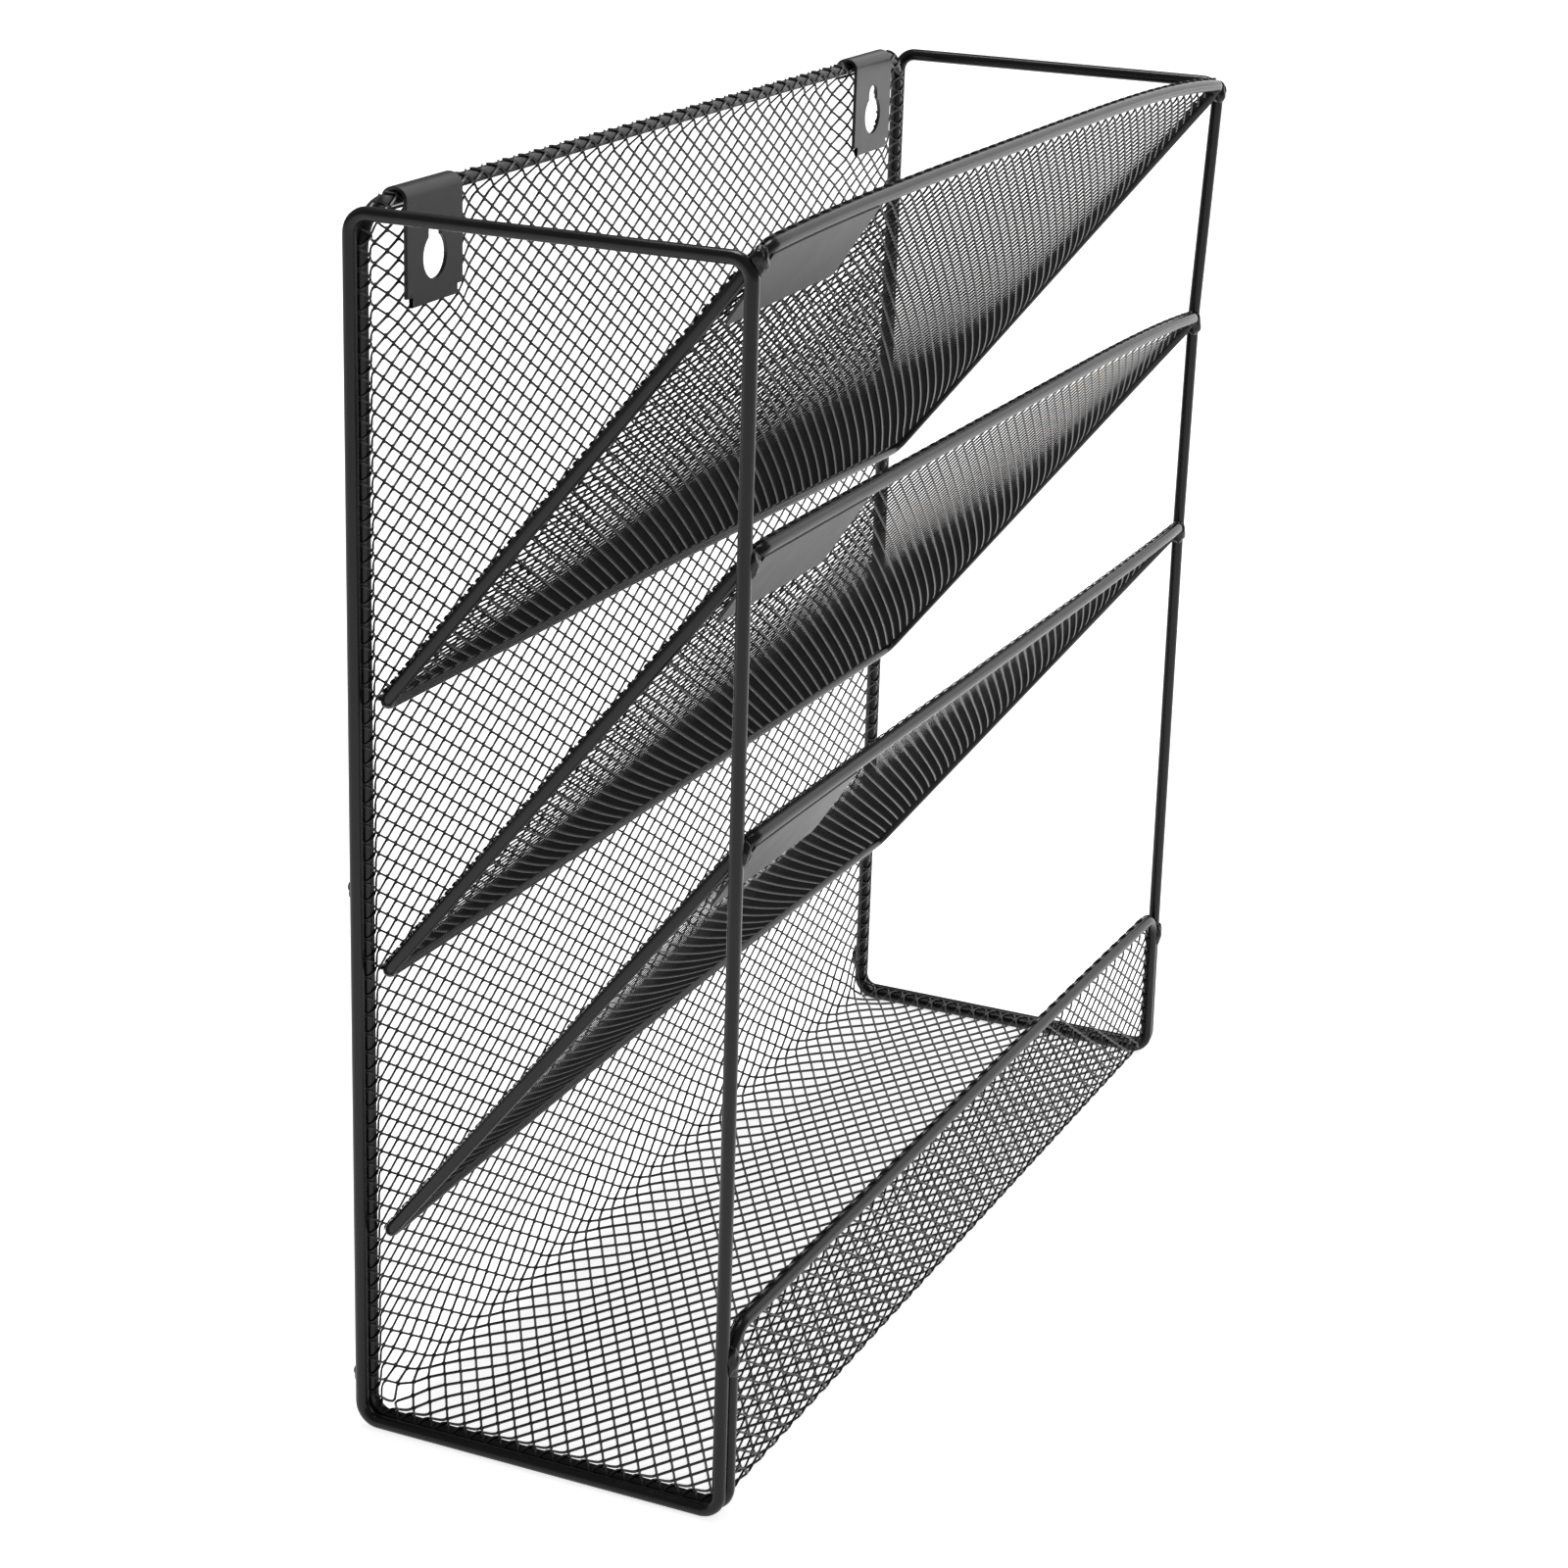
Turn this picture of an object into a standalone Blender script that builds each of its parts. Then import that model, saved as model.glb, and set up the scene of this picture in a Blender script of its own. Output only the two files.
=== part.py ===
"""Wall-hung file rack of round wire and expanded-metal mesh.

Two rectangular wire loops stand at the sides. A bent mesh body (back, base and low front lip) hangs
in its own rim wire between them, with three slanted mesh pockets in front of its back. Two folded
keyhole tabs over the top rail hang the rack on a wall.

Metres, +X to the right, +Y to the wall, +Z up. The origin is the middle of the footprint.
"""

import math

import bmesh
import bpy
from mathutils import Matrix, Vector

MM = 0.001

# Wire, sheet and clearance
WIRE_D = 3.5 * MM
MESH_T = 0.6 * MM
GAP = 0.3 * MM

# Side loops, outside sizes
RACK_WIDTH = 330.0 * MM
LOOP_DEPTH = 105.5 * MM
LOOP_HEIGHT = 316.7 * MM
LOOP_BEND = 5.0 * MM

# Body rim: how far it stands forward of the loops, its outside height, its bends
BODY_FORWARD = 0.7 * MM
BODY_HEIGHT = 317.0 * MM
TOP_BEND = 10.0 * MM
BASE_BEND = 5.5 * MM
LIP_HEIGHT = 52.5 * MM
LIP_BEND = 7.0 * MM

# Pockets, from the top one down
POCKET_COUNT = 3
POCKET_TOP = 320.4 * MM        # top of the first front rim above the floor
POCKET_PITCH = 70.0 * MM
POCKET_DROP = 124.5 * MM
POCKET_FORWARD = 1.5 * MM      # front rims stand this far in front of the front posts
POCKET_BEND = 4.0 * MM
POCKET_SAG = 9.0 * MM          # how far the pocket mesh bellies out at its middle

# Label plates, at the left end just under each front rim
LABEL_WIDTH = 63.0 * MM
LABEL_HEIGHT = 20.5 * MM
LABEL_T = 0.8 * MM
LABEL_INSET = 1.0 * MM         # from the side rim, and from the front rim
LABEL_STAND_OFF = 0.8 * MM     # from the middle of the pocket mesh to the plate's back face
LABEL_TILT = math.radians(5.0)
LABEL_CORNER = 2.0 * MM
LABEL_PRESS = 0.65             # share of the belly that the plate presses flat
LABEL_BLEND = 25.0 * MM        # distance over which the belly recovers beside the plate

# Hang tabs and keyholes
TAB_SPACING = 264.0 * MM       # between the tabs' middles
TAB_WIDTH = 26.5 * MM
TAB_LENGTH = 29.5 * MM         # from the fold's top to the front leaf's lower edge
TAB_BACK_LENGTH = 7.0 * MM     # from the fold's top to the back leaf's lower edge
TAB_T = 1.0 * MM
TAB_CHAMFER = 2.5 * MM
KEYHOLE_R = 5.5 * MM
KEYHOLE_DROP = 18.5 * MM       # from the fold's top to the centre of the round hole
SLOT_WIDTH = 5.8 * MM
SLOT_RISE = 9.0 * MM           # from the centre of the round hole to the slot's top

# Weld beads
BEAD_R = 0.5 * MM
BEAD_LENGTH = 5.0 * MM
BEAD_HEIGHTS = {"upper": 148.3 * MM, "lower": 14.0 * MM}
LIP_BEAD_DROP = 7.0 * MM       # below the lip rail

# Facets
WIRE_RESOLUTION = 3
BEND_STEPS = 5

# Colours
STEEL = (0.018, 0.018, 0.02)
LABEL_GREY = (0.12, 0.12, 0.125)

# Places that follow from the sizes
WIRE_R = WIRE_D / 2

X_LOOP = RACK_WIDTH / 2 - WIRE_R
X_RIM = X_LOOP - WIRE_D - GAP

Z_LOOP_LOW = WIRE_R
Z_LOOP_HIGH = LOOP_HEIGHT - WIRE_R
Z_BASE = Z_LOOP_LOW
Z_TOP = Z_BASE + BODY_HEIGHT - WIRE_D
Z_LIP = Z_BASE + LIP_HEIGHT - WIRE_D

BEHIND_BODY = WIRE_R + GAP + TAB_T                     # body rim's centre to the wall
LOOP_SPAN = LOOP_DEPTH - WIRE_D
FOOTPRINT_DEPTH = BEHIND_BODY - BODY_FORWARD + LOOP_SPAN + POCKET_FORWARD + WIRE_R
Y_WALL = FOOTPRINT_DEPTH / 2
Y_BODY_BACK = Y_WALL - BEHIND_BODY
Y_LOOP_BACK = Y_BODY_BACK + BODY_FORWARD
Y_LOOP_FRONT = Y_LOOP_BACK - LOOP_SPAN
Y_BODY_FRONT = Y_LOOP_FRONT - BODY_FORWARD

SHEET_OFFSET = WIRE_R + GAP + MESH_T / 2               # rim wire's centre to the sheet's middle
Y_BACK_SHEET = Y_BODY_BACK - SHEET_OFFSET
Y_LIP_SHEET = Y_BODY_FRONT + SHEET_OFFSET
Z_BASE_SHEET = Z_BASE + SHEET_OFFSET
SHEET_BEND = BASE_BEND - SHEET_OFFSET

Y_POCKET_FRONT = Y_LOOP_FRONT - POCKET_FORWARD
Y_POCKET_BACK = Y_BACK_SHEET - MESH_T / 2 - GAP - WIRE_R
POCKET_RUN = Y_POCKET_BACK - Y_POCKET_FRONT
POCKET_LENGTH = math.hypot(POCKET_RUN, POCKET_DROP)
POCKET_ANGLE = math.atan2(POCKET_DROP, POCKET_RUN)
Z_POCKET = POCKET_TOP - WIRE_R

LABEL_TOP = WIRE_R + LABEL_INSET
LABEL_LEFT = -(X_RIM - WIRE_R - LABEL_INSET)
LABEL_RIGHT = LABEL_LEFT + LABEL_WIDTH

TAB_INNER_BACK = Y_WALL - TAB_T
TAB_INNER_FRONT = Y_BACK_SHEET - MESH_T / 2 - GAP
TAB_TOP = Z_TOP + (TAB_INNER_BACK - TAB_INNER_FRONT) / 2 + TAB_T


def paint(obj, colour=STEEL, roughness=0.38, metallic=0.25):
    """Give an object a material of its own."""
    material = bpy.data.materials.new(obj.name)
    material.use_nodes = True
    shader = material.node_tree.nodes["Principled BSDF"]
    shader.inputs["Base Color"].default_value = (*colour, 1.0)
    shader.inputs["Roughness"].default_value = roughness
    shader.inputs["Metallic"].default_value = metallic
    obj.data.materials.clear()
    obj.data.materials.append(material)


def add_object(name, data, parent=None):
    """Link a new object, optionally under a parent."""
    obj = bpy.data.objects.new(name, data)
    bpy.context.scene.collection.objects.link(obj)
    obj.parent = parent
    return obj


def rounded(corners, radius):
    """A polyline through the corners, with every inner corner turned into an arc."""
    points = []
    for before, corner, after in zip(corners, corners[1:], corners[2:]):
        corner = Vector(corner)
        inward = (Vector(before) - corner).normalized()
        onward = (Vector(after) - corner).normalized()
        centre = corner + (inward + onward) * radius
        for step in range(BEND_STEPS + 1):
            turn = math.pi / 2 * step / BEND_STEPS
            points.append(centre - onward * radius * math.cos(turn) - inward * radius * math.sin(turn))
    start = Vector(corners[0])
    end = Vector(corners[-1])
    lead_in = [start] if (start - points[0]).length > GAP else []
    lead_out = [end] if (end - points[-1]).length > GAP else []
    return lead_in + points + lead_out


def wire(name, path, parent=None):
    """Round wire along a polyline, with closed ends."""
    curve = bpy.data.curves.new(name, "CURVE")
    curve.dimensions = "3D"
    curve.bevel_depth = WIRE_R
    curve.bevel_resolution = WIRE_RESOLUTION
    curve.use_fill_caps = True
    spline = curve.splines.new("POLY")
    spline.points.add(len(path) - 1)
    for point, place in zip(spline.points, path):
        point.co = (*place, 1.0)
    obj = add_object(name, curve, parent)
    paint(obj)
    return obj


def solid_from(name, build, parent=None, smooth_angle=None):
    """Make an object from a function that fills a bmesh."""
    bm = bmesh.new()
    build(bm)
    bmesh.ops.recalc_face_normals(bm, faces=bm.faces)
    mesh = bpy.data.meshes.new(name)
    bm.to_mesh(mesh)
    bm.free()
    if smooth_angle is not None:
        mesh.shade_smooth()
        mesh.set_sharp_from_angle(angle=smooth_angle)
    return add_object(name, mesh, parent)


def extrude_outline(bm, outline, direction):
    """Close an outline into a face and extrude it along a direction."""
    face = bm.faces.new([bm.verts.new(point) for point in outline])
    extruded = bmesh.ops.extrude_face_region(bm, geom=[face])
    moved = [item for item in extruded["geom"] if isinstance(item, bmesh.types.BMVert)]
    bmesh.ops.translate(bm, verts=moved, vec=direction)


def flat_sheet(name, outline, thickness, normal, parent=None):
    """A plate of the given thickness, centred on its outline's plane."""
    offset = Vector(normal) * thickness
    placed = [Vector(point) - offset / 2 for point in outline]
    return solid_from(name, lambda bm: extrude_outline(bm, placed, offset), parent)


def bent_sheet(name, path, thickness, x_low, x_high):
    """A sheet that follows a path in the YZ plane, centred on it, from x_low to x_high."""
    front = []
    back = []
    for index, point in enumerate(path):
        before = path[max(index - 1, 0)]
        after = path[min(index + 1, len(path) - 1)]
        along = (Vector(after) - Vector(before)).normalized()
        side = Vector((0.0, -along.z, along.y)) * thickness / 2
        front.append(Vector(point) + side)
        back.append(Vector(point) - side)
    start = Vector((x_low, 0.0, 0.0))
    outline = [start + point for point in front + back[::-1]]
    return solid_from(name, lambda bm: extrude_outline(bm, outline, (x_high - x_low, 0.0, 0.0)))


def make_side_loop(side, sign):
    """A rectangle of wire: two posts, and a top and a bottom bar that carry the bends."""
    x = sign * X_LOOP
    for level, y in (("front", Y_LOOP_FRONT), ("back", Y_LOOP_BACK)):
        low = (x, y, Z_LOOP_LOW + LOOP_BEND + GAP)
        high = (x, y, Z_LOOP_HIGH - LOOP_BEND - GAP)
        wire(f"loop_{side}_{level}_post", [low, high])
    for level, z, inward in (("top", Z_LOOP_HIGH, -1), ("bottom", Z_LOOP_LOW, 1)):
        z_end = z + inward * LOOP_BEND
        corners = [
            (x, Y_LOOP_FRONT, z_end),
            (x, Y_LOOP_FRONT, z),
            (x, Y_LOOP_BACK, z),
            (x, Y_LOOP_BACK, z_end),
        ]
        wire(f"loop_{side}_{level}_bar", rounded(corners, LOOP_BEND))


def make_body_rim():
    """The rim wire of the mesh body: top rail, uprights, base rails, lip posts and lip rail."""
    top_corners = [
        (-X_RIM, Y_BODY_BACK, Z_TOP - TOP_BEND),
        (-X_RIM, Y_BODY_BACK, Z_TOP),
        (X_RIM, Y_BODY_BACK, Z_TOP),
        (X_RIM, Y_BODY_BACK, Z_TOP - TOP_BEND),
    ]
    wire("body_top_rail", rounded(top_corners, TOP_BEND))
    lip_corners = [
        (-X_RIM, Y_BODY_FRONT, Z_LIP - LIP_BEND),
        (-X_RIM, Y_BODY_FRONT, Z_LIP),
        (X_RIM, Y_BODY_FRONT, Z_LIP),
        (X_RIM, Y_BODY_FRONT, Z_LIP - LIP_BEND),
    ]
    wire("body_lip_rail", rounded(lip_corners, LIP_BEND))
    for side, sign in (("left", -1), ("right", 1)):
        x = sign * X_RIM
        z_low = Z_BASE + BASE_BEND + GAP
        wire(f"body_upright_{side}", [(x, Y_BODY_BACK, z_low), (x, Y_BODY_BACK, Z_TOP - TOP_BEND - GAP)])
        wire(f"body_lip_post_{side}", [(x, Y_BODY_FRONT, z_low), (x, Y_BODY_FRONT, Z_LIP - LIP_BEND - GAP)])
        base_corners = [
            (x, Y_BODY_FRONT, Z_BASE + BASE_BEND),
            (x, Y_BODY_FRONT, Z_BASE),
            (x, Y_BODY_BACK, Z_BASE),
            (x, Y_BODY_BACK, Z_BASE + BASE_BEND),
        ]
        wire(f"body_base_rail_{side}", rounded(base_corners, BASE_BEND))


def make_keyhole_cutter(side, x):
    """A keyhole prism along Y, through a tab's front leaf and the mesh behind it."""
    z_hole = TAB_TOP - KEYHOLE_DROP
    half = SLOT_WIDTH / 2
    z_slot = z_hole + SLOT_RISE - half
    opening = math.asin(half / KEYHOLE_R)
    outline = []
    hole_steps = 4 * BEND_STEPS
    for step in range(hole_steps + 1):
        turn = math.pi / 2 + opening + (2 * math.pi - 2 * opening) * step / hole_steps
        outline.append((x + KEYHOLE_R * math.cos(turn), z_hole + KEYHOLE_R * math.sin(turn)))
    for step in range(2 * BEND_STEPS + 1):
        turn = math.pi * step / (2 * BEND_STEPS)
        outline.append((x + half * math.cos(turn), z_slot + half * math.sin(turn)))
    y_start = TAB_INNER_FRONT - 2 * TAB_T
    reach = Y_WALL + TAB_T - y_start
    points = [(px, y_start, pz) for px, pz in outline]
    cutter = solid_from(f"keyhole_{side}", lambda bm: extrude_outline(bm, points, (0.0, reach, 0.0)))
    cutter.hide_render = True
    cutter.display_type = "WIRE"
    return cutter


def cut(obj, cutter):
    """Subtract a cutter from an object."""
    boolean = obj.modifiers.new(cutter.name, "BOOLEAN")
    boolean.operation = "DIFFERENCE"
    boolean.object = cutter


def make_body_sheets(cutters):
    """The mesh body as three sheets that lie on the inner side of its rim wire."""
    x = X_RIM
    z_back = Z_BASE_SHEET + SHEET_BEND + GAP
    back_corners = [(-x, Y_BACK_SHEET, z_back), (-x, Y_BACK_SHEET, Z_TOP), (x, Y_BACK_SHEET, Z_TOP),
                    (x, Y_BACK_SHEET, z_back)]
    back = flat_sheet("back_mesh", rounded(back_corners, TOP_BEND), MESH_T, (0.0, 1.0, 0.0))
    for cutter in cutters:
        cut(back, cutter)
    lip_corners = [(-x, Y_LIP_SHEET, z_back), (-x, Y_LIP_SHEET, Z_LIP), (x, Y_LIP_SHEET, Z_LIP),
                   (x, Y_LIP_SHEET, z_back)]
    lip = flat_sheet("lip_mesh", rounded(lip_corners, LIP_BEND), MESH_T, (0.0, 1.0, 0.0))
    base_corners = [
        (0.0, Y_LIP_SHEET, Z_BASE_SHEET + SHEET_BEND),
        (0.0, Y_LIP_SHEET, Z_BASE_SHEET),
        (0.0, Y_BACK_SHEET, Z_BASE_SHEET),
        (0.0, Y_BACK_SHEET, Z_BASE_SHEET + SHEET_BEND),
    ]
    base = bent_sheet("base_mesh", rounded(base_corners, SHEET_BEND), MESH_T, -x, x)
    for sheet in (back, base, lip):
        paint(sheet)


def make_hang_tab(side, x, cutter):
    """A strip hooked over the top rail: a long leaf with a keyhole, and a short one on the wall."""
    fold = (TAB_INNER_BACK - TAB_INNER_FRONT) / 2
    y_mid = (TAB_INNER_BACK + TAB_INNER_FRONT) / 2
    middle = fold + TAB_T / 2
    z_low = TAB_TOP - TAB_LENGTH
    path = [Vector((0.0, y_mid - middle, z_low))]
    for step in range(2 * BEND_STEPS + 1):
        turn = math.pi - math.pi * step / (2 * BEND_STEPS)
        path.append(Vector((0.0, y_mid + middle * math.cos(turn), Z_TOP + middle * math.sin(turn))))
    path.append(Vector((0.0, y_mid + middle, TAB_TOP - TAB_BACK_LENGTH)))
    tab = bent_sheet(f"hang_tab_{side}", path, TAB_T, x - TAB_WIDTH / 2, x + TAB_WIDTH / 2)
    chamfer_low_corners(tab.data, z_low)
    cut(tab, cutter)
    paint(tab)


def chamfer_low_corners(mesh, z_low):
    """Chamfer the short edges across the sheet at the lowest corners."""
    bm = bmesh.new()
    bm.from_mesh(mesh)
    corners = []
    for edge in bm.edges:
        first, second = (vert.co for vert in edge.verts)
        low = max(first.z, second.z) < z_low + TAB_T / 2
        if low and abs(first.x - second.x) < TAB_T / 2:
            corners.append(edge)
    bmesh.ops.bevel(bm, geom=corners, offset=TAB_CHAMFER, segments=1, affect="EDGES")
    bm.to_mesh(mesh)
    bm.free()


def ease(value, start, length):
    """1 up to start, falling smoothly to 0 over the length after it."""
    share = min(max((value - start) / length, 0.0), 1.0)
    return 1.0 - share * share * (3.0 - 2.0 * share)


def belly(x, s):
    """How far the pocket mesh stands out of its rim's plane, s metres below the front rim."""
    share = s / POCKET_LENGTH
    full = POCKET_SAG * 4.0 * share * (1.0 - share) * (1.0 - (abs(x) / X_RIM) ** 6)
    pressed = ease(x, LABEL_RIGHT, LABEL_BLEND) * ease(s, LABEL_TOP + LABEL_HEIGHT, LABEL_BLEND)
    return full * (1.0 - LABEL_PRESS * pressed)


def pocket_rows():
    """Distances of the mesh grid's rows below the front rim, finer beside the rounded corners."""
    edge = WIRE_R + GAP
    corner = [POCKET_BEND - (POCKET_BEND - edge) * math.cos(math.pi / 2 * step / 3) for step in range(3)]
    steps = 10
    inner = POCKET_LENGTH - 2 * POCKET_BEND
    middle = [POCKET_BEND + inner * step / steps for step in range(steps + 1)]
    return corner + middle + [POCKET_LENGTH - s for s in reversed(corner)]


def row_half_width(s):
    """Half the mesh's width at a distance below the front rim, inside the rim's round corners."""
    from_end = min(s, POCKET_LENGTH - s)
    inner = POCKET_BEND - WIRE_R - GAP
    into_corner = max(POCKET_BEND - from_end, 0.0)
    return X_RIM - POCKET_BEND + math.sqrt(max(inner * inner - into_corner * into_corner, 0.0))


def fill_pocket_mesh(bm):
    """A thin closed shell that bellies out of the pocket rim's plane."""
    rows = pocket_rows()
    columns = 16
    layers = []
    for lift in (MESH_T / 2, -MESH_T / 2):
        layer = []
        for s in rows:
            half = row_half_width(s)
            places = [half * (2.0 * column / columns - 1.0) for column in range(columns + 1)]
            layer.append([bm.verts.new((x, s, lift - belly(x, s))) for x in places])
        layers.append(layer)
    upper, lower = layers
    for r in range(len(rows) - 1):
        for c in range(columns):
            for layer in layers:
                bm.faces.new((layer[r][c], layer[r][c + 1], layer[r + 1][c + 1], layer[r + 1][c]))
        for c in (0, columns):
            bm.faces.new((upper[r][c], upper[r + 1][c], lower[r + 1][c], lower[r][c]))
    for c in range(columns):
        for r in (0, len(rows) - 1):
            bm.faces.new((upper[r][c], upper[r][c + 1], lower[r][c + 1], lower[r][c]))


def label_outline():
    """The label plate's outline from its upper left corner, its two lower corners rounded."""
    corners = [(0.0, 0.0, 0.0), (0.0, LABEL_HEIGHT, 0.0), (LABEL_WIDTH, LABEL_HEIGHT, 0.0),
               (LABEL_WIDTH, 0.0, 0.0)]
    return rounded(corners, LABEL_CORNER)


def make_pocket(number):
    """One pocket: a rim of four wires, a bellied mesh and a label plate, on a tilted empty."""
    tilt = add_object(f"pocket_{number}_frame", None)
    tilt.location = (0.0, Y_POCKET_FRONT, Z_POCKET - (number - 1) * POCKET_PITCH)
    tilt.rotation_euler = (-POCKET_ANGLE, 0.0, 0.0)
    for place, s, inward in (("front", 0.0, 1), ("bottom", POCKET_LENGTH, -1)):
        s_end = s + inward * POCKET_BEND
        corners = [(-X_RIM, s_end, 0.0), (-X_RIM, s, 0.0), (X_RIM, s, 0.0), (X_RIM, s_end, 0.0)]
        wire(f"pocket_{number}_{place}_rim", rounded(corners, POCKET_BEND), tilt)
    for side, sign in (("left", -1), ("right", 1)):
        s_low = POCKET_BEND + GAP
        s_high = POCKET_LENGTH - POCKET_BEND - GAP
        x = sign * X_RIM
        wire(f"pocket_{number}_side_rim_{side}", [(x, s_low, 0.0), (x, s_high, 0.0)], tilt)
    mesh = solid_from(f"pocket_{number}_mesh", fill_pocket_mesh, tilt, math.radians(30))
    paint(mesh)
    label = flat_sheet(f"pocket_{number}_label", label_outline(), LABEL_T, (0.0, 0.0, 1.0), tilt)
    label.location = (LABEL_LEFT, LABEL_TOP, -belly(LABEL_RIGHT, LABEL_TOP) - LABEL_STAND_OFF - LABEL_T / 2)
    label.rotation_euler = (-LABEL_TILT, 0.0, 0.0)
    paint(label, LABEL_GREY, roughness=0.5, metallic=0.4)


def fill_bead(bm):
    """A long round bead that stands upright."""
    bmesh.ops.create_uvsphere(bm, u_segments=8, v_segments=6, radius=BEAD_R)
    stretch = Matrix.Diagonal((1.0, 1.0, BEAD_LENGTH / 2 / BEAD_R, 1.0))
    bmesh.ops.transform(bm, matrix=stretch, verts=bm.verts)


def make_bead(name, sign, y_rim, y_loop, outward, z):
    """A weld bead in the groove between a rim wire and the side loop's post beside it."""
    clear = WIRE_R + GAP + BEAD_R
    half_pitch = (X_LOOP - X_RIM) / 2
    outermost = max(outward * y_rim, outward * y_loop)
    depth = math.sqrt(clear * clear - half_pitch * half_pitch)
    bead = solid_from(name, fill_bead, smooth_angle=math.radians(80))
    bead.location = (sign * (X_LOOP + X_RIM) / 2, outward * (outermost + depth), z)
    paint(bead)


def make_beads():
    """Beads at every pocket's front rim, at the lip and on the back uprights."""
    for side, sign in (("left", -1), ("right", 1)):
        for number in range(1, POCKET_COUNT + 1):
            z = Z_POCKET - (number - 1) * POCKET_PITCH - BEAD_LENGTH / 2
            make_bead(f"weld_pocket_{number}_{side}", sign, Y_LOOP_FRONT, Y_LOOP_FRONT, -1, z)
        make_bead(f"weld_lip_{side}", sign, Y_BODY_FRONT, Y_LOOP_FRONT, -1, Z_LIP - LIP_BEAD_DROP)
        for level, z in BEAD_HEIGHTS.items():
            make_bead(f"weld_back_{level}_{side}", sign, Y_BODY_BACK, Y_LOOP_BACK, 1, z)


def main():
    """Build the rack."""
    for obj in list(bpy.data.objects):
        bpy.data.objects.remove(obj, do_unlink=True)
    cutters = []
    for side, sign in (("left", -1), ("right", 1)):
        x_tab = sign * TAB_SPACING / 2
        cutter = make_keyhole_cutter(side, x_tab)
        make_side_loop(side, sign)
        make_hang_tab(side, x_tab, cutter)
        cutters.append(cutter)
    make_body_rim()
    make_body_sheets(cutters)
    for number in range(1, POCKET_COUNT + 1):
        make_pocket(number)
    make_beads()


main()
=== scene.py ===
"""Looks of the wall-hung wire file rack: real expanded-metal strands, bent wire, welds and paint."""

import math

import bmesh
import bpy
import numpy as np
from mathutils import Matrix, Vector, noise

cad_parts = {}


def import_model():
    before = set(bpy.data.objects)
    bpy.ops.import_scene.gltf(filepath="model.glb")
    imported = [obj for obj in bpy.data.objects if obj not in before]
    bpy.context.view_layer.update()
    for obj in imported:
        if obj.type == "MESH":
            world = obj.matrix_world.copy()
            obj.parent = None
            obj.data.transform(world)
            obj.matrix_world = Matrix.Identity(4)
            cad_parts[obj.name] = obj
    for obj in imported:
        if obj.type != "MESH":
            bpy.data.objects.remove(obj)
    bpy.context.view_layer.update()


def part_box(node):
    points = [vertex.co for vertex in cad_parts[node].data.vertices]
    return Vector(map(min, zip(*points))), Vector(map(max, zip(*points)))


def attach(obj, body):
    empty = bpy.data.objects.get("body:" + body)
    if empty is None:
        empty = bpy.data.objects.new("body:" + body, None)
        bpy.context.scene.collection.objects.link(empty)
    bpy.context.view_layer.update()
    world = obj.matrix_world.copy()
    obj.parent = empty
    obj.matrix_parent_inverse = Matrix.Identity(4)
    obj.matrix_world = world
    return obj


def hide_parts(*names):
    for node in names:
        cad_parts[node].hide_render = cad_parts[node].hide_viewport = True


MM = 0.001

# Bend radii of the wires' centre lines
LOOP_BEND = 5.0 * MM
TOP_BEND = 10.0 * MM
BASE_BEND = 5.5 * MM
LIP_BEND = 7.0 * MM
POCKET_BEND = 4.0 * MM

# Expanded metal: long and short way of a diamond, in the body and in the finer pockets
BODY_CELL = (8.1 * MM, 5.05 * MM)
POCKET_CELL = (6.1 * MM, 3.42 * MM)
# Strands: across in the sheet, and through it
BODY_STRAND = (0.62 * MM, 0.48 * MM)
POCKET_STRANDS = {1: (0.44 * MM, 0.54 * MM), 2: (0.44 * MM, 0.42 * MM), 3: (0.40 * MM, 0.24 * MM)}
STRAND_LEAN = math.radians(15)  # how far the strands' broad sides lean out of the sheet
BOND_LENGTH = 0.9 * MM          # where neighbouring strands join
WRAP_BODY = math.radians(95)    # how far the cut edge turns round the rim wire
WRAP_POCKET = math.radians(50)
EDGE_STEP = 1.1 * MM            # strand facets where they wrap round a wire
TANGENT_STEP = 0.05 * MM        # for the directions across and along the sheet
BODY_SLACK = 2.0 * MM           # the body's sheet hangs this far outside the top of its rim wires
SLACK_RAMP = 5.0 * MM           # and reaches that depth this far in from the rim
CORNER_CUT = 3.2 * MM           # the sheet cuts the corner behind the base's bend by this much
CORNER_REACH = 19.0 * MM        # and from this far before the bend's middle

# Pockets
POCKET_COUNT = 3
POCKET_SAGS = {1: 7.0 * MM, 2: 4.6 * MM, 3: 2.0 * MM}   # how far the meshes belly out
LABEL_PRESS = 0.65              # share of the belly that a label plate presses flat
LABEL_BLEND = 25.0 * MM         # distance over which the belly recovers beside the plate

# Wires bent out of true, in mm: heights of the left end, the middle and the right end
FRONT_RISE = {1: (-1.8, 0.3, -4.0), 2: (-0.4, -0.1, -4.2), 3: (0.0, 0.3, 0.0)}
BOTTOM_RISE = {1: (1.5, -0.3, -3.0), 2: (1.5, 0.7, 0.0), 3: (0.0, 3.3, 2.9)}
LIP_RISE = -2.2 * MM
LIP_REACH = 20.0 * MM           # how far behind the lip its bend dies out

# The right front post's bow, in metres: heights, and how far back it stands there
POST_BOW_HEIGHTS = (0.005, 0.045, 0.175, 0.245, 0.316)
POST_BOW_DEPTHS = (0.0, 0.0006, 0.0018, 0.0016, -0.0012)

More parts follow.
